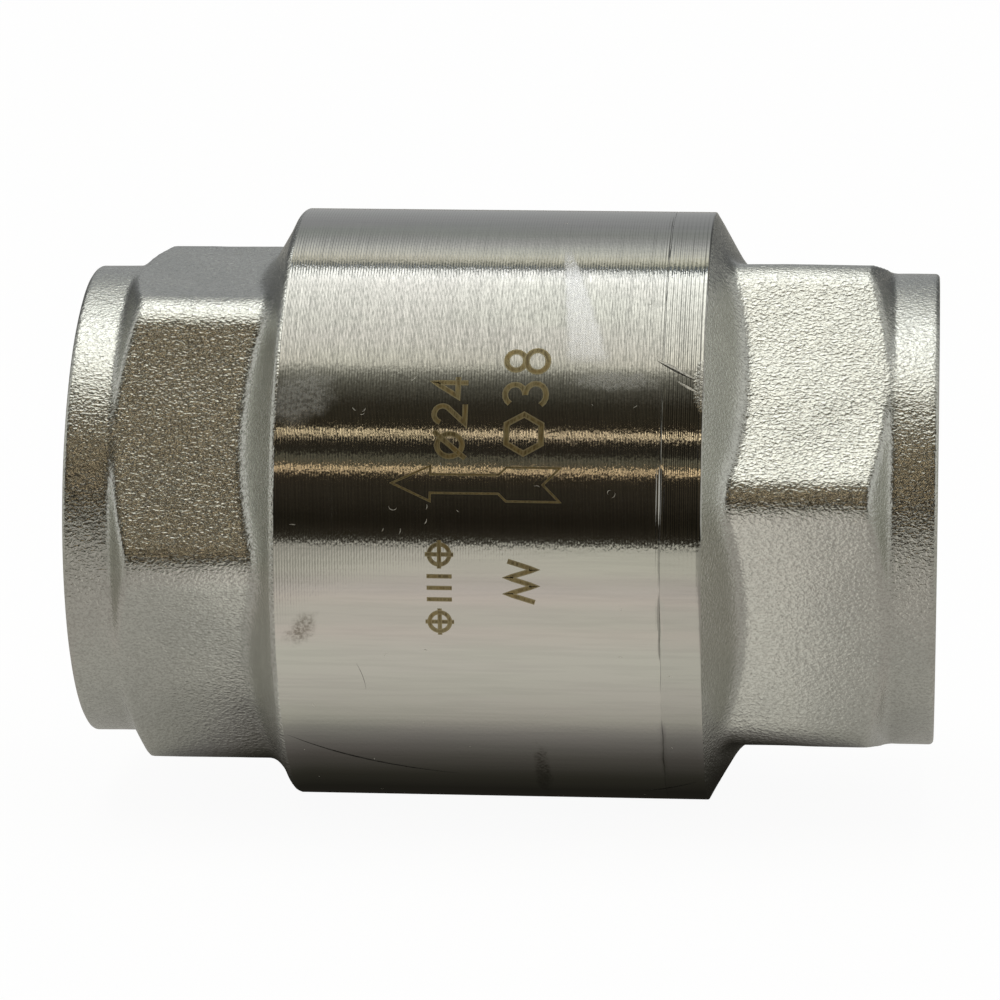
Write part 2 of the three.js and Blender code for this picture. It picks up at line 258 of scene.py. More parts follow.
def slab_mesh(x_range, y_range, z_range, turn=0.0):
    """A rectangular block, turned about the flow axis."""
    work = bmesh.new()
    bmesh.ops.create_cube(work, size=1.0)
    low, high = (Vector(ends) * MM for ends in zip(x_range, y_range, z_range))
    stand = Matrix.Translation((low + high) / 2) @ Matrix.Diagonal(high - low).to_4x4()
    work.transform(Matrix.Rotation(turn, 4, "X") @ stand)
    mesh = bpy.data.meshes.new("slab")
    work.to_mesh(mesh)
    work.free()
    return mesh


# ---------- threads ----------

def thread_rows(low, high, pitch, radius_at, columns):
    """Rows over a right-hand thread from low to high. Each column meets the helix at its own phase."""
    lead = -pitch * around(columns) / (2 * math.pi)
    count = math.ceil((high - low) / pitch * ROWS_PER_TURN)
    return [(x, radius_at(x, ((x - low - lead) / pitch) % 1.0)) for x in np.linspace(low, high, count + 1)]


def thread_depth(phase, flat):
    """How far the thread form has risen from root (0) to crest (1), with slightly rounded corners."""
    height = np.abs(phase - 0.5) * 2
    straight = np.clip((height - flat) / (1 - 2 * flat), 0, 1)
    rounded = straight * straight * (3 - 2 * straight)
    return (straight + rounded) / 2


def socket_radius(x, phase):
    """The radius of a female pipe thread, with its runout inside and its flared mouth outside."""
    distance = np.abs(x)
    full = np.clip((distance - THREAD_INNER_END - THREAD_RUNOUT_START) / THREAD_RUNOUT, 0, 1)
    radius = THREAD_MINOR + (THREAD_MAJOR - THREAD_MINOR) * (1 - thread_depth(phase, THREAD_FLAT)) * full
    mouth = MOUTH_RADIUS - (HALF_LENGTH - distance)
    return np.maximum(radius, mouth)


def socket_rows(low, high):
    """Rows over a socket's thread between two places along the flow axis."""
    ends = (low + THREAD_CLEARANCE, high - THREAD_CLEARANCE)
    return thread_rows(*ends, THREAD_PITCH, socket_radius, BODY_COLUMNS)


# ---------- the castings ----------

def smooth_max(a, b, k):
    """The larger of a and b, blended where they are less than k apart."""
    h = np.clip(k - np.abs(a - b), 0, None) / k
    return np.maximum(a, b) + h * h * k / 4


def smooth_min(a, b, k):
    return -smooth_max(-a, -b, k)


def hex_radius(flat_radius, corner_radius, turn, columns):
    """The radius of a hexagon with rounded corners at each column."""
    sector = math.pi / 3
    from_corner = np.abs((around(columns) - turn + sector / 2) % sector - sector / 2)
    centre = (flat_radius - corner_radius) / math.cos(sector / 2)
    tangent = math.atan2(corner_radius * math.sin(sector / 2), centre + corner_radius * math.cos(sector / 2))
    flat = flat_radius / np.cos(sector / 2 - from_corner)
    inside = np.clip(corner_radius ** 2 - (centre * np.sin(from_corner)) ** 2, 0, None)
    corner = centre * np.cos(from_corner) + np.sqrt(inside)
    return np.where(from_corner > tangent, flat, corner)


def cast_radius(distance, cone_start, cone_top, turn):
    """The casting's radius at a distance from the middle: hexagon, chamfer, collar and cone, blended."""
    hexagon = hex_radius(HEX_FLAT_RADIUS, HEX_CORNER_RADIUS, turn, BODY_COLUMNS)
    chamfer = HEX_FLAT_RADIUS + (HEX_OUTER_END - distance) / CAST_SLOPE
    hexagon = smooth_min(hexagon, chamfer, CORNER_SOFTNESS)
    collar = COLLAR_RADIUS - 2 * max(0, HEX_OUTER_END - distance)
    shape = smooth_max(hexagon, collar, CORNER_SOFTNESS)
    cone = cone_top - (distance - cone_start) / CAST_SLOPE
    return smooth_max(shape, cone, CAST_FILLET)


def wander(amount, seed, waves):
    """A small irregular offset for each column, with about this many waves round the circle."""
    reach = waves / (2 * math.pi)
    return np.array([
        amount * noise.noise(Vector((math.cos(a) * reach, math.sin(a) * reach, seed)))
        for a in around(BODY_COLUMNS)
    ])


# The order of a casting's materials.
TURNED, CAST, BORED = 0, 1, 2
# How far a casting's skin waves in and out, and how wide those waves are.
CAST_WAVES = ((0.08, 5.0), (0.015, 1.6))


def cast_grain(mesh):
    """Moves the vertices of cast faces in and out: the waviness of an investment casting."""
    cast, machined = set(), set()
    for face in mesh.polygons:
        (cast if face.material_index == CAST else machined).update(face.vertices)
    for index in cast - machined:
        vertex = mesh.vertices[index]
        place_mm = vertex.co / MM
        shift = sum(a * noise.noise(place_mm / wave) for a, wave in CAST_WAVES)
        vertex.co += Vector((0, place_mm.y, place_mm.z)).normalized() * shift * MM


def end_rows(side, cone_start, cone_top, turn):
    """Rows over a casting's end, from the thread's mouth out over collar and hexagon to the barrel."""
    rows = [
        (side * HALF_LENGTH, MOUTH_RADIUS, BORED),
        (side * HALF_LENGTH, (MOUTH_RADIUS + COLLAR_RADIUS) / 2, BORED),
    ]
    for t in np.linspace(0, math.pi / 2, 5):
        x = HALF_LENGTH - COLLAR_EDGE * (1 - math.cos(t))
        rows.append((side * x, COLLAR_RADIUS - COLLAR_EDGE * (1 - math.sin(t)), CAST))
    collar_start = HALF_LENGTH - COLLAR_EDGE - 0.3
    cone_shoulder = cone_start + 0.25
    row_spacing = 0.27
    for distance in np.arange(collar_start, cone_shoulder, -row_spacing):
        rows.append((side * distance, cast_radius(distance, cone_start, cone_top, turn), CAST))
    return rows


def seam_rows(side, seed):
    """The lip of a casting at the seam. Both lips wander and are chipped together, each with own burrs."""
    together = wander(0.07, 7.7, 55) + wander(0.03, 1.9, 160)
    burrs = wander(0.035, seed, 120)
    chips = np.clip(wander(0.2, 4.6, 34) - 0.03, 0, 0.08)
    bared = 0.008
    lip = SEAM + together + burrs * 0.4 + side * bared
    return [
        (lip + side * (0.04 + np.abs(burrs) + chips), BARREL_RADIUS, TURNED),
        (lip, BARREL_RADIUS - bared - chips, BORED),
        (SEAM + side * HALF_GAP, BARREL_RADIUS - SEAM_DEPTH, BORED),
    ]


def casting(node, rows, inner, screw):
    """A casting from its outer rows, the outline of its inside and its thread."""
    inside = soften(inner, BROKEN_EDGE, 1, closed=False) + screw
    rows = rows + [(x, radius, BORED) for x, radius in inside]
    mesh = close_mesh(wrapped_mesh(node + "_fine", rows, BODY_COLUMNS))
    cast_grain(mesh)
    place(mesh, "valve_body", "cast_stainless", node)


def outlet_body():
    """The body: outlet hexagon, long part of the barrel, chamber, groove for the circlip and port."""
    edge, barrel_rows = 0.45, 40
    rows = end_rows(-1, -BARREL_OUTLET_END + edge, BARREL_RADIUS - edge, OUTLET_HEX_TURN)
    ragged = wander(0.05, 3.1, 45)
    for back, depth in ((0.45, 0.30), (0.32, 0.14), (0.15, 0.04)):
        rows.append((BARREL_OUTLET_END - back + ragged / 2, BARREL_RADIUS - depth, CAST))
    for x in (BARREL_OUTLET_END, BARREL_OUTLET_END + 0.15):
        rows.append((x + ragged, BARREL_RADIUS, TURNED))
    for x in np.linspace(BARREL_OUTLET_END + 0.6, SEAM - 0.5, barrel_rows):
        rows.append((x, BARREL_RADIUS, TURNED))
    rows += seam_rows(-1, 9.4)
    joint_bore, chamber_bore, guide_bore, groove_bore, port_bore = 20.6, 18.6, 15.2, 16.3, 12.8
    joint_end, chamber_end, guide_start, guide_seat = 2.4, -9.6, -13.0, -17.5
    groove_start, groove_end = -13.4, -14.7
    inner = [
        (SEAM - HALF_GAP, BARREL_RADIUS - 2 * SEAM_DEPTH), (SEAM - HALF_GAP, joint_bore),
        (joint_end, joint_bore), (joint_end, chamber_bore),
        (chamber_end, chamber_bore), (guide_start, guide_bore),
        (groove_start, guide_bore), (groove_start, groove_bore),
        (groove_end, groove_bore), (groove_end, guide_bore),
        (guide_seat, guide_bore), (guide_seat, port_bore),
        (-THREAD_INNER_END, port_bore), (-THREAD_INNER_END, THREAD_MINOR),
    ]
    screw = socket_rows(-HALF_LENGTH, -THREAD_INNER_END)
    casting("outlet_body", rows, inner, screw[::-1])


def inlet_cap():
    """The cap: inlet hexagon, short part of the barrel, spigot and the seat's lip."""
    edge, barrel_rows = 0.1, 8
    rows = end_rows(1, BARREL_INLET_END + edge, BARREL_RADIUS - edge, INLET_HEX_TURN)
    ragged = wander(0.05, 5.3, 45)
    rows.append((BARREL_INLET_END + edge / 2 + ragged, BARREL_RADIUS - edge / 3, TURNED))
    for x in np.linspace(BARREL_INLET_END - 0.02, SEAM + 0.4, barrel_rows):
        rows.append((x + ragged * (x - SEAM) / (BARREL_INLET_END - SEAM), BARREL_RADIUS, TURNED))
    rows += seam_rows(1, 2.4)
    spigot_radius, spigot_end, lip_radius, port_bore = 20.3, 4.2, 13.2, 12.0
    inner = [
        (SEAM + HALF_GAP, BARREL_RADIUS - 2 * SEAM_DEPTH), (SEAM + HALF_GAP, spigot_radius),
        (spigot_end, spigot_radius), (spigot_end, lip_radius),
        (CAP_LOW.x, lip_radius), (CAP_LOW.x, port_bore),
        (THREAD_INNER_END, port_bore), (THREAD_INNER_END, THREAD_MINOR),
    ]
    screw = socket_rows(THREAD_INNER_END, HALF_LENGTH)
    casting("inlet_cap", rows, inner, screw)


# ---------- the pieces inside ----------

def ring_piece(node, inner, softness, body, slot):
    """A plain ring in the place of a CAD node, with broken edges."""
    low, high = span(node)
    mesh = ring_mesh(node + "_fine", low.x, high.x, inner, high.z, softness)
    place(mesh, body, slot, node)


def stem_guide():
    """The three-armed spider that carries the stem's outlet end."""
    low, high = span("stem_guide")
    ring_end, ring_inner, hub_radius, bore = -14.8, 13.0, 4.6, 3.9
    half_width, arm_end, clear = 1.5, 13.6, 0.05
    arm = (low.x + clear, ring_end - clear), (-half_width, half_width), (bore + 0.2, arm_end)
    steps = [("UNION", ring_mesh("hub", low.x, high.x, bore, hub_radius, 0.2))]
    for turn in (0, 120, 240):
        steps.append(("UNION", slab_mesh(*arm, math.radians(turn))))
    ring = ring_mesh("ring", low.x, ring_end, ring_inner, high.z, 0.2)
    carved_piece("stem_guide", 0.12, "valve_body", "machined_stainless", ring, *steps)


def guide_bush():
    """The sleeve in the guide's hub, with a flange behind it."""
    low, high = span("guide_bush")
    flange_end, sleeve_radius, bore = -17.6, 3.8, 3.05
    rows = soften([
        (low.x, bore), (low.x, high.z), (flange_end, high.z),
        (flange_end, sleeve_radius), (high.x, sleeve_radius), (high.x, bore),
    ], BROKEN_EDGE)
    turned_piece("guide_bush", rows, "valve_body", "ptfe")


def guide_circlip():
    """An internal retaining ring, open at the top, with a drilled lug on each side of the opening."""
    low, high = span("guide_circlip")
    inner, lug_radius, hole_radius, half_opening = 14.0, 1.5, 0.7, 0.21
    outer = -low.z
    past = 0.5
    opening = outer * math.sin(half_opening)
    steps = [("DIFFERENCE", slab_mesh((low.x - past, high.x + past), (-opening, opening), (12.0, 18.0)))]
    for side in (-1, 1):
        angle = side * (half_opening + lug_radius / inner)
        reach = inner - hole_radius / 2
        y, z = reach * math.sin(angle), reach * math.cos(angle)
        steps.append(("UNION", rod_mesh(low.x, high.x, lug_radius, y, z)))
        steps.append(("DIFFERENCE", rod_mesh(low.x - past, high.x + past, hole_radius, y, z)))
    ring = ring_mesh("clip", low.x, high.x, inner, outer)
    carved_piece("guide_circlip", 0.07, "valve_body", "spring_stainless", ring, *steps)


def spring():
    """The helical spring, its end coils closed and ground flat."""
    wire, mean_radius, closed_turns, open_turns, coil_gap = 1.2, 6.2, 1, 3, 0.048
    ground_turns, ground_depth = 0.8, 0.45
    per_turn, sides = 72, 20
    low, high = span("spring")
    turns = 2 * closed_turns + open_turns
    closed_pitch = wire + coil_gap
    open_pitch = (high.x - low.x - wire - 2 * closed_turns * closed_pitch) / open_turns
    section = around(sides)
    points = []
    for step in range(per_turn * turns + 1):
        turn = step / per_turn
        opened = min(max(turn - closed_turns, 0), open_turns)
        centre_x = low.x + wire / 2 + (turn - opened) * closed_pitch + opened * open_pitch
        ground = ground_depth * (max(0, ground_turns - (turns - turn)) - max(0, ground_turns - turn))
        angle = turn * 2 * math.pi
        radii = mean_radius + wire / 2 * np.cos(section)
        xs = np.clip(centre_x + ground + wire / 2 * np.sin(section), low.x, high.x)
        points += [(x * MM, r * math.cos(angle) * MM, r * math.sin(angle) * MM) for x, r in zip(xs, radii)]
    faces = tube_faces(per_turn * turns + 1, sides, closed=False, capped=True)
    mesh = new_mesh("spring_fine", points, faces)
    piece = place(close_mesh(mesh), "valve_body", "spring_stainless", "spring")
    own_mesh(piece)


def stem():
    """The stem: a centre hole in each end, a collar behind the disc and a screw thread for the nut."""
    low, high = span("stem")
    collar_start, collar_end, tip = -5.2, -1.6, 0.5
    centre_hole, hole_depth, pitch = 0.9, 0.7, 1.0

    def screw_radius(x, phase):
        radius = STEM_THREAD_ROOT + (STEM_RADIUS - STEM_THREAD_ROOT) * thread_depth(phase, 0.12)
        return np.minimum(radius, STEM_RADIUS - tip + (high.x - x))

    plain = soften([
        (low.x + hole_depth, 0), (low.x, centre_hole),
        (low.x, STEM_RADIUS - tip), (low.x + tip, STEM_RADIUS),
        (collar_start, STEM_RADIUS), (collar_start, STEM_COLLAR_RADIUS),
        (collar_end, STEM_COLLAR_RADIUS), (collar_end, STEM_RADIUS),
        (STEM_THREAD_START - 0.3, STEM_RADIUS), (STEM_THREAD_START - 0.1, STEM_THREAD_ROOT),
    ], BROKEN_EDGE, closed=False)
    screw = thread_rows(STEM_THREAD_START, high.x - THREAD_CLEARANCE, pitch, screw_radius, SMALL_COLUMNS)
    end = [(high.x, STEM_RADIUS - tip), (high.x, centre_hole), (high.x - hole_depth, 0)]
    turned_piece("stem", plain + screw + end, "poppet", "machined_stainless", closed=False)


def disc():
    """The poppet disc: a plate with a rim and a boss that hold the seat seal between them."""
    low, high = span("disc")
    plate, rim_end, rim_inner, boss = 0.7, 2.0, 14.0, 7.0
    rows = soften([
        (low.x, POPPET_BORE), (low.x, high.z), (rim_end, high.z), (rim_end, rim_inner),
        (plate, rim_inner), (plate, boss), (high.x, boss), (high.x, POPPET_BORE),
    ], 0.2)
    turned_piece("disc", rows, "poppet", "machined_stainless")


def lock_washer():
    """A split spring washer, cut through at the top."""
    low, high = span("lock_washer")
    past, half_cut = 0.5, 0.45
    cut = slab_mesh((low.x - past, high.x + past), (-half_cut, half_cut), (2.5, 6.0))
    ring = ring_mesh("washer", low.x, high.x, POPPET_BORE, -low.z, 0.1)
    carved_piece("lock_washer", 0.06, "poppet", "spring_stainless", ring, ("DIFFERENCE", cut))


def stem_nut():
    """A hexagon nut, chamfered at both ends, with a countersunk bore."""
    low, high = span("stem_nut")
    flat_radius, corner_radius, face_radius, countersink = 5.0, 0.25, 4.9, 0.35
    columns, softness = 240, 0.08
    hexagon = hex_radius(flat_radius, corner_radius, 0.0, columns)
    rows = []
    for depth in (0.0, 0.1, 0.2, 0.3, 0.4, 0.55):
        rows.append((low.x + depth, smooth_min(hexagon, face_radius + depth / CAST_SLOPE, softness)))
    rows += [(low.x + high.x - x, radius) for x, radius in rows[::-1]]
    rows += [
        (high.x, POPPET_BORE + countersink), (high.x - countersink, POPPET_BORE),
        (low.x + countersink, POPPET_BORE), (low.x, POPPET_BORE + countersink),
    ]
    turned_piece("stem_nut", rows, "poppet", "machined_stainless", columns, sharp=25)


# ---------- marks and scratches on the barrel ----------

def arc(centre, radii, start, end, steps):
    """Points on part of an ellipse, from one angle in degrees to another."""
    return [
        (centre[0] + radii[0] * math.cos(t), centre[1] + radii[1] * math.sin(t))
        for t in np.radians(np.linspace(start, end, steps))
    ]


def resampled(points, step, closed):
    """The same polyline with no stretch longer than a step, so that it can bend round the barrel."""
    points = [np.array(p, float) for p in points]
    ends = points[1:] + points[:1] if closed else points[1:]
    dense = []
    for start, end in zip(points, ends):
        count = math.ceil(np.linalg.norm(end - start) / step - 1e-6)
        dense += [start + (end - start) * k / count for k in range(count)]
    return dense if closed else dense + [points[-1]]


class Strips:
    """Thin closed strips laid on the barrel, gathered into one mesh. A point of the barrel is (u, v):
    millimetres along the flow axis and millimetres round it, up from the front."""

    FOOT = -0.05
    STEP = 0.4
    # Strips lie at a few heights in turn, so that no two that cross are level.
    LEVELS, LEVEL = 5, 0.001
    # The mitre at a sharp corner is cut short, and a tapered strip ends a little blunt.
    LEAST_MITRE = 0.45
    BLUNT = 0.6

    def __init__(self, name, height):
        self.name = name
        self.height = height
        self.points = []
        self.faces = []
        self.across = []
        self.count = 0

    def on_barrel(self, place_uv, height):
        angle = place_uv[1] / BARREL_RADIUS
        radius = BARREL_RADIUS + height
        return (place_uv[0] * MM, -radius * math.cos(angle) * MM, radius * math.sin(angle) * MM)

    def sideways(self, line, closed):
        """For each point of the line, the mitred step to its left edge for a line of half width 1."""
        before_first = line[-1] if closed else 2 * line[0] - line[1]
        after_last = line[0] if closed else 2 * line[-1] - line[-2]
        ways = np.diff([before_first, *line, after_last], axis=0)
        normals = [np.array((-way[1], way[0])) / np.linalg.norm(way) for way in ways]
        steps = []
        for before, after in zip(normals, normals[1:]):
            mean = (before + after) / np.linalg.norm(before + after)
            steps.append(mean / max(np.dot(mean, before), self.LEAST_MITRE))
        return steps

    def add(self, points, width, closed=False, taper=False):
        line = resampled(points, self.STEP, closed)
        height = self.height + self.LEVEL * (self.count % self.LEVELS)
        self.count += 1
        first = len(self.points)
        for i, (here, step) in enumerate(zip(line, self.sideways(line, closed))):
            along = (i + self.BLUNT) / (len(line) - 1 + 2 * self.BLUNT)
            reach = step * width / 2 * (math.sin(math.pi * along) if taper else 1)
            for place_uv, level, across in (
                (here + reach, self.FOOT, 1), (here + reach, height, 1),
                (here - reach, height, -1), (here - reach, self.FOOT, -1),
            ):
                self.points.append(self.on_barrel(place_uv, level))
                self.across.append(across)
        for face in tube_faces(len(line), 4, closed, capped=not closed):
            self.faces.append([first + corner for corner in face])

    def piece(self, material):
        mesh = new_mesh(self.name, self.points, self.faces)
        across = mesh.attributes.new("across", "FLOAT", "POINT")
        across.data.foreach_set("value", [float(a) for a in self.across])
        place(close_mesh(mesh, 1e-9), "valve_body", "machined_stainless", material=material)


# Signs one high, written from left to right: the step to the next sign, and (points, closed) strokes.
SIGNS = {
    "diameter": (0.98, (
        (arc((0.40, 0.47), (0.33, 0.36), 0, 342, 20), True),
        ([(0.02, 0.02), (0.80, 0.94)], False),
    )),
    "hexagon": (1.06, ((arc((0.46, 0.5), (0.44, 0.44), 0, 300, 6), True),)),
    "2": (0.82, ((arc((0.32, 0.70), (0.25, 0.24), 165, -38, 12) + [(0.06, 0.06), (0.62, 0.06)], False),)),
    "3": (0.80, (
        (arc((0.30, 0.72), (0.24, 0.22), 150, -90, 12), False),
        (arc((0.30, 0.27), (0.27, 0.23), 90, -150, 12), False),
    )),
    "4": (0.82, (([(0.46, 0.0), (0.46, 0.95), (0.04, 0.29), (0.64, 0.29)], False),)),
    "8": (0.80, (
        (arc((0.32, 0.73), (0.23, 0.21), 0, 342, 18), True),
        (arc((0.32, 0.26), (0.27, 0.24), 0, 342, 18), True),
    )),
    "centre": (1.2, (
        (arc((0.5, 0.5), (0.36, 0.36), 0, 345, 24), True),
        ([(0.5, 0.0), (0.5, 1.0)], False),
        ([(0.0, 0.5), (1.0, 0.5)], False),
    )),
    "bar": (0.42, (([(0.14, 0.06), (0.14, 0.94)], False),)),
    "coil": (1.4, (([(0.05, 0.1), (0.3, 0.9), (0.55, 0.1), (0.8, 0.9), (1.05, 0.1), (1.3, 0.9)], False),)),
}


def write_signs(strips, signs, top, foot, start, stroke):
    """Signs written upwards round the barrel from an angle in degrees, their tops towards the outlet."""
    size = foot - top
    v = math.radians(start) * BARREL_RADIUS
    for sign in signs:
        step, strokes = SIGNS[sign]
        for points, closed in strokes:
            strips.add([(foot - y * size, v + x * size) for x, y in points], stroke, closed)
        v += step * size


def etched_marks(material):
    """Generic marks: the port's diameter, the wrench size, centre signs with bars between, and a coil."""
    strips = Strips("etched_marks", 0.008)
    write_signs(strips, ["diameter", "2", "4"], -4.75, -2.05, 18.0, 0.42)
    write_signs(strips, ["hexagon", "3", "8"], 0.6, 4.1, 19.0, 0.45)
    write_signs(strips, ["centre", "bar", "bar", "bar", "centre"], -5.1, -2.9, -15.5, 0.34)
    write_signs(strips, ["coil"], 1.0, 3.6, -9.0, 0.40)
    strips.piece(material)


def flow_arrow(material):
    """The outline of an arrow that points at the outlet, with a notched tail."""
    tip, head_back, tail_front, tail_back, notch = -7.7, -4.75, 1.1, 5.2, 3.9
    middle, head, shaft, tail = 13.4, 1.35, 0.72, 1.3
    half = [
        (tip, 0.0), (head_back, head), (head_back, shaft),
        (tail_front - 0.6, shaft), (tail_front, tail), (tail_back, tail),
    ]
    outline = half + [(notch, 0.0)] + [(u, -v) for u, v in half[:0:-1]]
    strips = Strips("flow_arrow", 0.006)
    centre = math.radians(middle) * BARREL_RADIUS
    strips.add([(u, centre + v) for u, v in outline], 0.17, closed=True)
    strips.piece(material)


def curl(u, degrees, heading, length, bend, steps=8):
    """Points along a small scratch that turns evenly as it goes. Angles are in degrees."""
    points = [np.array((u, math.radians(degrees) * BARREL_RADIUS))]
    for k in range(steps):
        way = math.radians(heading + bend * k / steps)
        points.append(points[-1] + np.array((math.cos(way), math.sin(way))) * length / steps)
    return points


def scratches(name, height, marks, material):
    """Tapered scratches, each (u, degrees, heading, length, bend, width)."""
    strips = Strips(name, height)
    for *path, width in marks:
        strips.add(curl(*path), width, taper=True)
    strips.piece(material)


def nicks(count):
    """Tiny scratches all over the barrel, but for its seam."""
    rng = np.random.default_rng(7)
    marks = []
    for _ in range(count):
        u = rng.uniform(BARREL_OUTLET_END + 0.6, BARREL_INLET_END - 0.6)
        degrees, heading = rng.uniform(-180, 180), rng.uniform(0, 360)
        length, bend = rng.uniform(0.12, 0.5), rng.uniform(-90, 90)
        if abs(u - SEAM) > 0.7:
            marks.append((u, degrees, heading, length, bend, rng.uniform(0.03, 0.055)))
    return marks


def bright_scratches(material):
    """Handling marks: one gouge by the inlet edge, small curls on the front and many tiny nicks."""
    gouge = [
        (12.2, 38.6, -33, 3.6, 6, 0.26), (12.9, 37.5, -33, 2.8, 6, 0.12), (14.0, 33.6, -33, 1.8, 6, 0.2),
    ]
    curls = [
        (-7.9, 9.2, -80, 0.9, 150, 0.045), (-5.0, 8.6, 60, 0.4, 60, 0.045),
        (8.9, 11.8, 120, 0.5, -140, 0.045), (9.2, 11.2, 20, 0.5, 90, 0.045),
        (-7.1, 3.9, 50, 0.5, 60, 0.045), (-8.4, 4.4, 50, 0.3, 30, 0.045), (-6.5, 33.0, 35, 0.6, 20, 0.045),
    ]
    scratches("bright_scratches", 0.004, gouge + curls + nicks(90), material)


def dark_scratches(material):
    """Two long drag lines under the barrel, a hair below the front and two dark lines in the gouge."""
    scratches("dark_scratches", 0.003, [
        (-16.5, -41.0, -33, 14.5, 22, 0.2), (11.0, -64.0, 28, 5.2, 12, 0.2),
        (-10.6, -22.0, -65, 2.6, -25, 0.03), (12.4, 37.8, -33, 3.2, 8, 0.16), (13.2, 36.5, -30, 2.0, 5, 0.1),
    ], material)


# ---------- node materials ----------

class Nodes:
    """Short calls that add a node to a tree, feed its inputs and give back its output."""

    def __init__(self, tree):
        self.tree = tree

    def feed(self, socket, value):
        """Links the socket to another one, or sets it to a plain value."""
        if isinstance(value, bpy.types.NodeSocket):
            self.tree.links.new(value, socket)
        else:
            socket.default_value = value

    def node(self, kind, inputs=(), **settings):
        """A new node, with its settings, and its inputs fed by name or number."""
        made = self.tree.nodes.new("ShaderNode" + kind)
        for setting, value in settings.items():
            setattr(made, setting, value)
        for key, value in dict(inputs).items():
            self.feed(made.inputs[key], value)
        return made

    def math(self, operation, a, b=0.0):
        return self.node("Math", {0: a, 1: b}, operation=operation).outputs[0]

    def plus(self, a, b):
        return self.math("ADD", a, b)

    def minus(self, a, b):
        return self.math("SUBTRACT", a, b)

    def times(self, a, b):
        return self.math("MULTIPLY", a, b)

    def larger(self, a, b):
        return self.math("MAXIMUM", a, b)

    def vector(self, operation, a, b=(0, 0, 0)):
        made = self.node("VectorMath", {0: a, 1: b}, operation=operation)
        return made.outputs["Value" if operation == "LENGTH" else "Vector"]

    def split(self, vector):
        return self.node("SeparateXYZ", {0: vector}).outputs

    def join(self, x, y, z):
        return self.node("CombineXYZ", enumerate((x, y, z))).outputs[0]

    def remap(self, value, low, high, to_low=0.0, to_high=1.0, smooth=True):
        """The value carried from one range to another, and held at its ends."""
        ends = (value, low, high, to_low, to_high)
        kind = "SMOOTHSTEP" if smooth else "LINEAR"
        return self.node("MapRange", enumerate(ends), interpolation_type=kind).outputs[0]

    def mix(self, share, a, b):
        """A colour between a and b."""
        return self.node("Mix", {0: share, 6: a, 7: b}, data_type="RGBA").outputs[2]

    def blend(self, share, a, b):
        """A number between a and b."""
        return self.node("Mix", {0: share, 2: a, 3: b}, data_type="FLOAT").outputs[0]

    def ramp(self, value, stops):
        """The colour at a value, from stops of (value, red, green, blue). The colours are divided by
        the brightest number among them, which comes second."""
        low, high = stops[0][0], stops[-1][0]
        brightest = max(max(colour) for _, *colour in stops)
        made = self.node("ValToRGB", {0: self.remap(value, low, high, smooth=False)})
        elements = made.color_ramp.elements
        while len(elements) < len(stops):
            elements.new(1.0)
        for stop, (position, *colour) in zip(elements, stops):
            stop.position = (position - low) / (high - low)
            stop.color = (*(c / brightest for c in colour), 1)
        return made.outputs[0], brightest

    def shared(self, share, a, b):
        """A shader between a and b."""
        return self.node("MixShader", {0: share, 1: a, 2: b}).outputs[0]

    def cast_and_seen(self, light, seen):
        """The one shader for the light that it casts, the other where the camera looks straight at it."""
        return self.shared(self.node("LightPath").outputs["Is Camera Ray"], light, seen)


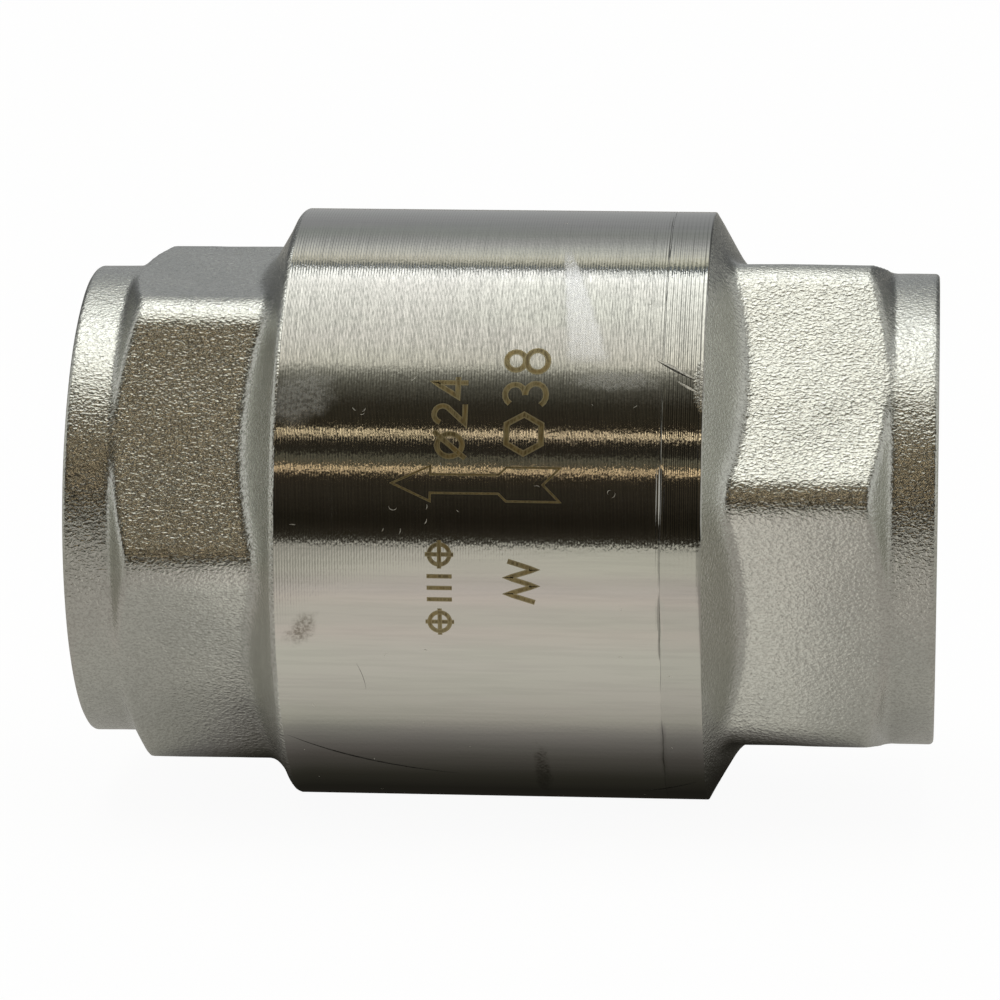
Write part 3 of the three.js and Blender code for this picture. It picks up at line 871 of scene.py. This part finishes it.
class Shader(Nodes):
    """A Principled material, with the places and patterns that the valve's materials share."""

    def __init__(self, name, **values):
        self.material = bpy.data.materials.new(name)
        self.material.use_nodes = True
        super().__init__(self.material.node_tree)
        self.surface = self.tree.nodes["Principled BSDF"]
        for socket, value in values.items():
            self.surface.inputs[socket.replace("_", " ")].default_value = value
        self.place = self.vector("MULTIPLY", self.node("TexCoord").outputs["Object"], (1 / MM,) * 3)
        self.x, self.y, self.z = self.split(self.place)
        self.radius = self.math("SQRT", self.plus(self.times(self.y, self.y), self.times(self.z, self.z)))
        self.round = self.times(self.math("ARCTAN2", self.z, self.times(self.y, -1.0)), BARREL_RADIUS)

    def set(self, socket, value):
        self.feed(self.surface.inputs[socket], value)

    def stretch(self, x, y, z):
        return self.vector("MULTIPLY", self.place, (x, y, z))

    def noise(self, place, scale=1.0, detail=2, roughness=0.6, distortion=0.0):
        numbers = {"Scale": scale, "Detail": detail, "Roughness": roughness, "Distortion": distortion}
        return self.node("TexNoise", {"Vector": place, **numbers}).outputs["Fac"]

    def bump(self, height, distance, normal=None):
        """A normal for this height, whose full range is a distance in millimetres."""
        inputs = {"Strength": 1.0, "Distance": distance * MM, "Height": height}
        if normal is not None:
            inputs["Normal"] = normal
        return self.node("Bump", inputs).outputs["Normal"]

    def rings(self, fine, drift):
        """Noise that makes turned rings, on cylinders and on flat faces alike."""
        along, outward = self.times(self.x, fine), self.times(self.radius, fine)
        return self.noise(self.join(along, outward, self.times(self.round, drift)))

    def feed_lines(self, pitch, fineness):
        """A lathe's feed marks: even grooves a pitch apart, roughened by noise that runs round with them."""
        groove = self.math("SINE", self.times(self.x, 2 * math.pi / pitch))
        uneven = self.noise(self.stretch(fineness, 0.1, 0.1))
        even = self.times(self.plus(groove, 1.0), 0.5)
        return self.blend(0.45, even, uneven)

    def stray(self, ragged):
        """How far the rim of a patch strays either way."""
        return self.times(self.minus(self.noise(self.place, 1.1, 3, 0.65), 0.5), 2 * ragged)

    def spot(self, x, degrees, reach_x, reach_round, lean=0.0, ragged=0.35, edge=0.4):
        """1 in a patch of the barrel, falling to 0 at its ragged rim. Lean slants it along X."""
        up = self.minus(self.round, math.radians(degrees) * BARREL_RADIUS)
        along = self.minus(self.minus(self.x, x), self.times(up, lean))
        offset = self.join(self.times(along, 1 / reach_x), self.times(up, 1 / reach_round), 0.0)
        distance = self.plus(self.vector("LENGTH", offset), self.stray(ragged))
        return self.remap(distance, edge, 1.0, 1.0, 0.0)

    def wedge(self, tip, foot, ragged):
        """1 in a smear that widens from a tip (x, degrees) down to a foot (first x, last x, degrees)."""
        top, bottom = (math.radians(degrees) * BARREL_RADIUS for degrees in (tip[1], foot[2]))
        fall = self.remap(self.round, top, bottom, smooth=False)
        middle = self.blend(fall, tip[0], (foot[0] + foot[1]) / 2)
        reach = self.blend(fall, 0.2, (foot[1] - foot[0]) / 2)
        offset = self.math("DIVIDE", self.math("ABSOLUTE", self.minus(self.x, middle)), reach)
        stray = self.stray(ragged)
        beside = self.remap(self.plus(offset, stray), 0.6, 1.1, 1.0, 0.0)
        below = self.remap(self.plus(self.round, stray), bottom - 0.5, bottom + 1.0)
        return self.times(beside, self.times(below, self.remap(fall, 0.0, 0.2)))

    def finish(self, tint, dark, light, pattern, roughness, depth):
        """A finished material: tint mixes its colour, and the pattern makes its roughness and relief."""
        self.set("Base Color", self.mix(tint, dark, light))
        self.set("Roughness", self.remap(pattern, 0.3, 0.7, *roughness))
        self.set("Normal", self.bump(pattern, depth))
        return self.material


def steel(value, warm=0.0):
    """Stainless steel's faintly yellow-green grey, warmed or cooled a little."""
    return (value * (1 + warm), value * 0.985, value * (0.88 - warm), 1.0)


def cast_stainless():
    """Bead-blasted investment casting: a dense wrinkled skin with painted shade in its pits, and soft
    patches.
    """
    s = Shader("cast_stainless", Metallic=1.0, Roughness=0.2)
    patches = s.noise(s.place, 0.16, 3)
    wrinkles = s.noise(s.stretch(3.3, 4.8, 4.8), 1.0, 1.5, 0.5, 0.4)
    specks = s.noise(s.place, 5.0)
    pit_shade = steel(0.42)
    skin = s.mix(s.remap(patches, 0.3, 0.7), steel(0.665, -0.025), steel(0.725, -0.02))
    # Painted shade: the colour darkens where the wrinkles and specks dip, in the hollows of their bump.
    skin = s.mix(s.remap(wrinkles, 0.36, 0.56, 0.25, 0.0), skin, pit_shade)
    s.set("Base Color", s.mix(s.remap(specks, 0.36, 0.54, 0.45, 0.0), skin, pit_shade))
    s.set("Roughness", s.remap(wrinkles, 0.3, 0.7, 0.24, 0.17))
    s.set("Normal", s.bump(specks, 0.014, s.bump(wrinkles, 0.074)))
    return s.material


def barrel_metal(s, past_seam):
    """The barrel's bare metal: two close tints, long streaks, and short dull dashes on the upper front."""
    tint = s.noise(s.stretch(0.05, 0.22, 0.22), 1.0, 2, 0.5)
    streaks = s.noise(s.stretch(0.12, 2.6, 2.6))
    dashes = s.noise(s.stretch(8.0, 1.6, 1.6))
    cool, warm = (0.585, 0.583, 0.52, 1), (0.595, 0.575, 0.528, 1)
    worn, dull = (0.40, 0.40, 0.36, 1), (0.35, 0.35, 0.315, 1)
    metal = s.mix(s.remap(tint, 0.3, 0.7), cool, warm)
    wear = s.plus(s.remap(streaks, 0.4, 0.65, 0.0, 0.15), s.times(past_seam, 0.25))
    metal = s.mix(wear, metal, worn)
    upper_front = s.times(s.remap(s.z, 8.0, 15.0), s.remap(s.y, -11.5, -9.0, 1.0, 0.0))
    return s.mix(s.times(s.remap(dashes, 0.36, 0.56, 0.7, 0.0), upper_front), metal, dull)


def barrel_stainless():
    """The turned barrel: bright metal with fine feed lines round it, coarser past the seam and fainter
    below, with a smear of dust, grey haze, two stains and a chewed spot at the inlet edge."""
    s = Shader("turned_stainless", Metallic=1.0, Roughness=0.13, Anisotropic=0.8, Anisotropic_Rotation=0.25)
    past_seam = s.remap(s.x, SEAM - HALF_GAP, SEAM + HALF_GAP)
    lines = s.blend(past_seam, s.feed_lines(0.215, 5.2), s.times(s.feed_lines(0.33, 3.6), 1.35))
    texture = s.times(lines, s.remap(s.z, 0.5, 3.0, 0.15, 1.0))
    grain = s.noise(s.stretch(5.0, 3.0, 3.0), 1.0, 1, 0.5)
    crumbs = s.noise(s.place, 4.5, 3, 0.7)

    smear = s.wedge((4.6, 70), (5.3, 9.0, 37), 0.3)
    haze = s.larger(s.spot(-15.0, 29.5, 3.2, 2.7, 0.3), s.spot(9.3, 33.5, 4.2, 1.0, 0.1, 0.7))
    dirt = s.larger(s.spot(-14.8, -14.8, 1.5, 1.6, 0.4, 0.7, 0.1), s.spot(3.3, -54, 0.8, 5.5, 0.0, 0.5))
    chewed = s.spot(15.8, 33, 0.6, 2.6, 0.0, 0.6)

    dusty = s.larger(s.times(smear, 0.8), s.times(haze, 0.75))
    dusty = s.times(dusty, s.remap(crumbs, 0.35, 0.6, 0.35, 1.0))
    dust = s.mix(smear, (0.46, 0.46, 0.43, 1), (0.97, 0.97, 0.95, 1))
    metal = s.mix(dusty, barrel_metal(s, past_seam), dust)
    stain = s.times(dirt, s.remap(crumbs, 0.35, 0.65, 0.15, 0.75))
    s.set("Base Color", s.mix(stain, metal, (0.10, 0.08, 0.05, 1)))
    s.set("Metallic", s.minus(1.0, s.times(dusty, 0.6)))
    s.set("Roughness", s.plus(s.remap(texture, 0.25, 0.75, 0.12, 0.085), s.times(dusty, 0.3)))
    gouged = s.bump(s.times(crumbs, chewed), 0.06, s.bump(texture, 0.031))
    s.set("Normal", s.bump(grain, 0.0055, gouged))
    s.set("Tangent", s.node("Tangent", direction_type="RADIAL", axis="X").outputs[0])
    return s.material


def bored_stainless():
    """Machined inside faces: rings of tool marks."""
    s = Shader("bored_stainless", Metallic=1.0, Roughness=0.3)
    rings = s.rings(4.0, 0.08)
    return s.finish(rings, steel(0.44), steel(0.62), rings, (0.24, 0.38), 0.02)


def small_stainless():
    """Small turned pieces: fine tool marks and slight staining."""
    s = Shader("machined_stainless", Metallic=1.0, Roughness=0.28)
    stain = s.noise(s.place, 0.4, 3)
    return s.finish(stain, steel(0.46, 0.01), steel(0.64), s.rings(6.0, 0.1), (0.2, 0.34), 0.012)


def spring_stainless():
    """Drawn spring wire, a little darker and mottled."""
    s = Shader("spring_stainless", Metallic=1.0, Roughness=0.3)
    skin = s.noise(s.place, 2.4, 4, 0.65)
    return s.finish(skin, steel(0.38, 0.02), steel(0.56), skin, (0.22, 0.4), 0.01)


def white_ptfe():
    """Waxy white PTFE with faint turning rings."""
    s = Shader("ptfe", Roughness=0.42, Subsurface_Weight=0.25, Subsurface_Scale=MM)
    mottled = s.noise(s.place, 0.7, 3)
    dark, light = (0.80, 0.78, 0.73, 1), (0.90, 0.89, 0.86, 1)
    return s.finish(mottled, dark, light, s.rings(5.0, 0.1), (0.36, 0.5), 0.01)


def etched_stainless():
    """Laser-marked metal: a matt olive brown, hatched, with a paler line along each edge of a stroke."""
    s = Shader("etched_stainless", Metallic=0.6, Roughness=0.42)
    across = s.node("Attribute", attribute_name="across").outputs["Fac"]
    edge = s.remap(s.math("ABSOLUTE", across), 0.5, 0.75)
    hatch = s.noise(s.stretch(6.0, 1.2, 1.2))
    patchy = s.noise(s.place, 0.9)
    fill = s.mix(s.remap(hatch, 0.35, 0.65), (0.14, 0.11, 0.05, 1), (0.30, 0.25, 0.125, 1))
    fill = s.mix(s.remap(patchy, 0.4, 0.7, 0.0, 0.5), fill, (0.30, 0.21, 0.07, 1))
    s.set("Base Color", s.mix(edge, fill, (0.34, 0.29, 0.16, 1)))
    s.set("Normal", s.bump(hatch, 0.01))
    return s.material


def scratched_metal(name, metallic, dark, light):
    """The metal laid bare in a scratch, or the dirt that has settled in one."""
    s = Shader(name, Metallic=metallic, Roughness=0.45)
    broken = s.noise(s.place, 3.0, 3, 0.7)
    s.set("Base Color", s.mix(s.remap(broken, 0.35, 0.65), dark, light))
    s.set("Normal", s.bump(broken, 0.02))
    return s.material


# ---------- camera, floor and light ----------

CAMERA_AZIMUTH = math.radians(4.709)
CAMERA_ELEVATION = math.radians(9.946)
CAMERA_AIM = (-1.266, 0, 0.226)
CAMERA_DISTANCE = 409.9
CAMERA_LENS, CAMERA_SENSOR = 182.04, 36


def make_camera():
    """A level camera in front of the valve, a little to its right and above it."""
    level = math.cos(CAMERA_ELEVATION)
    sideways, forwards = math.sin(CAMERA_AZIMUTH) * level, math.cos(CAMERA_AZIMUTH) * level
    back = Vector((sideways, -forwards, math.sin(CAMERA_ELEVATION)))
    camera_data = bpy.data.cameras.new("camera")
    camera_data.lens = CAMERA_LENS
    camera_data.sensor_width = CAMERA_SENSOR
    camera_data.clip_start = 10 * MM
    camera = new_object("camera", camera_data)
    camera.location = (Vector(CAMERA_AIM) + back * CAMERA_DISTANCE) * MM
    camera.rotation_mode = "QUATERNION"
    camera.rotation_quaternion = (-back).to_track_quat("-Z", "Y")
    bpy.context.scene.camera = camera


# The table's painted light: distance from under the flow axis, and red, green and blue there. The valve's
# soft shadow is painted in the middle, with faint pink and grey bands further out.
TABLE_LIGHT_AND_PAINTED_SHADOW = (
    (0.0, 0.012, 0.01, 0.008),
    (7.5, 0.016, 0.015, 0.012),
    (10.8, 0.034, 0.032, 0.026),
    (14.2, 0.1, 0.093, 0.087),
    (16.2, 0.172, 0.162, 0.158),
    (18.3, 0.27, 0.259, 0.251),
    (20.8, 0.49, 0.478, 0.44),
    (24.0, 0.6, 0.582, 0.545),
    (30.0, 0.68, 0.662, 0.622),
    (36.0, 0.7, 0.682, 0.64),
    (42.5, 0.73, 0.676, 0.64),
    (47.0, 0.68, 0.652, 0.612),
    (54.0, 0.69, 0.662, 0.62),
    (62.0, 0.74, 0.68, 0.642),
    (70.0, 0.69, 0.645, 0.62),
    (82.0, 0.64, 0.605, 0.57),
    (100.0, 0.7, 0.68, 0.62),
    (240.0, 0.66, 0.645, 0.59),
)


def make_floor():
    """A pale table: in the metal's reflections it glows with painted light and the valve's painted shadow;
    the camera sees it white.
    """
    side, front = 4000 * MM, 235 * MM
    corners = [(-side, -front, 0), (side, -front, 0), (side, side, 0), (-side, side, 0)]
    mesh = new_mesh("floor", corners, [(0, 1, 2, 3)])
    floor = new_object("floor", mesh)
    floor.location = (0, 0, -BARREL_RADIUS * MM)
    table = Shader("floor", Base_Color=(0.86, 0.86, 0.86, 1), Roughness=0.9, Specular_IOR_Level=0.1)
    mesh.materials.append(table.material)

    # Painted shadow: the glow is darkest under the flow axis, the shadow shorter past the valve's ends, and
    # the glow dimmer towards the ends.
    shadow_half_length, end_widening = 15, 1.4
    fade_start, fade_end, faded = 21, 28, 0.58
    from_middle = table.vector("ABSOLUTE", table.place)
    past_shadow = table.vector("MAXIMUM", table.vector("SUBTRACT", from_middle, (shadow_half_length, 0, 0)))
    from_axis = table.vector("LENGTH", table.vector("MULTIPLY", past_shadow, (end_widening, 1, 0)))
    colour, brightest = table.ramp(from_axis, TABLE_LIGHT_AND_PAINTED_SHADOW)
    endways = table.split(from_middle)[0]
    strength = table.remap(endways, fade_start, fade_end, brightest, faded * brightest)
    # lit is the table's glow with the painted shadow in it, seen only in reflections.
    lit = table.node("Emission", {"Color": colour, "Strength": strength}).outputs[0]

    glow, glow_share = 1.05, 0.9
    white = table.node("Emission", {"Strength": glow}).outputs[0]
    seen = table.shared(glow_share, table.surface.outputs[0], white)
    table.feed(table.tree.nodes["Material Output"].inputs["Surface"], table.cast_and_seen(lit, seen))


# Height above the front horizon in degrees, over the top to the back, and red, green and blue there: a
# dark front with two thin warm strip lamps, a soft box overhead with a dark rim, and a grey back.
STUDIO = (
    (-8.0, 0.03, 0.025, 0.017),
    (4.0, 0.03, 0.025, 0.017),
    (13.0, 0.058, 0.049, 0.035),
    (21.3, 0.064, 0.052, 0.036),
    (21.9, 1.95, 1.46, 0.9),
    (22.8, 1.95, 1.46, 0.9),
    (23.4, 0.13, 0.11, 0.07),
    (27.0, 0.26, 0.245, 0.18),
    (28.4, 0.048, 0.042, 0.032),
    (35.6, 0.042, 0.036, 0.026),
    (36.2, 2.5, 2.02, 1.36),
    (37.1, 2.5, 2.02, 1.36),
    (37.7, 0.055, 0.045, 0.029),
    (49.0, 0.07, 0.061, 0.044),
    (56.0, 0.19, 0.18, 0.15),
    (61.5, 0.4, 0.39, 0.34),
    (65.5, 1.46, 1.42, 1.29),
    (76.0, 1.66, 1.65, 1.57),
    (98.0, 1.9, 1.92, 1.9),
    (105.0, 1.98, 2.0, 2.0),
    (112.4, 2.5, 2.56, 2.62),
    (113.8, 0.16, 0.2, 0.27),
    (116.2, 0.25, 0.27, 0.26),
    (118.6, 0.8, 0.78, 0.66),
    (121.5, 1.06, 1.04, 0.94),
    (124.0, 0.98, 0.98, 0.93),
    (129.0, 0.72, 0.735, 0.74),
    (134.0, 0.5, 0.51, 0.53),
    (140.0, 0.36, 0.38, 0.38),
    (150.0, 0.34, 0.35, 0.37),
    (168.0, 0.37, 0.38, 0.39),
    (180.0, 0.39, 0.39, 0.39),
)


def make_studio():
    """A plain white surround, seen only by its light: STUDIO, dimmer towards the two ends of the valve,
    and a plain wall at each end."""
    world = bpy.data.worlds.new("studio")
    bpy.context.scene.world = world
    world.use_nodes = True
    world.node_tree.nodes.clear()
    sky = Nodes(world.node_tree)

    dim_start, dim_end, dimmed = 0.10, 0.38, 0.3
    wall_start, wall_end, wall_light = 0.6, 0.85, 0.6
    x, y, z = sky.split(sky.node("TexCoord").outputs["Generated"])
    height = sky.math("DEGREES", sky.math("ARCTAN2", z, sky.times(y, -1.0)))
    colour, brightest = sky.ramp(height, STUDIO)
    endways = sky.math("ABSOLUTE", sky.plus(x, math.sin(CAMERA_AZIMUTH)))
    strength = sky.remap(endways, dim_start, dim_end, brightest, dimmed * brightest)
    over = sky.node("Background", {"Color": colour, "Strength": strength}).outputs[0]
    wall = sky.node("Background", {"Color": (1.0, 1.0, 0.97, 1), "Strength": wall_light}).outputs[0]
    light = sky.shared(sky.remap(endways, wall_start, wall_end), over, wall)
    white = sky.node("Background", {"Color": (1, 1, 1, 1)}).outputs[0]
    sky.node("OutputWorld", {0: sky.cast_and_seen(light, white)})
    world.cycles.sampling_method = "MANUAL"
    world.cycles.sample_map_resolution = 2048


# ---------- the valve ----------

make_camera()
make_floor()
make_studio()
bpy.context.scene.view_settings.view_transform = "Standard"

LOOKS = {
    "cast_stainless": [barrel_stainless(), cast_stainless(), bored_stainless()],
    "machined_stainless": [small_stainless()],
    "spring_stainless": [spring_stainless()],
    "ptfe": [white_ptfe()],
}
outlet_body()
inlet_cap()
ring_piece("body_gasket", 18.7, 0.15, "valve_body", "ptfe")
stem_guide()
guide_bush()
guide_circlip()
spring()
stem()
disc()
ring_piece("seat_seal", 7.1, 0.2, "poppet", "ptfe")
ring_piece("seal_retainer", POPPET_BORE, 0.3, "poppet", "machined_stainless")
lock_washer()
stem_nut()

etched = etched_stainless()
etched_marks(etched)
flow_arrow(etched)
bright_scratches(scratched_metal("scratch_bright", 0.3, steel(0.45), steel(0.9)))
dark_scratches(scratched_metal("scratch_dark", 0.8, steel(0.025, 0.1), steel(0.11)))
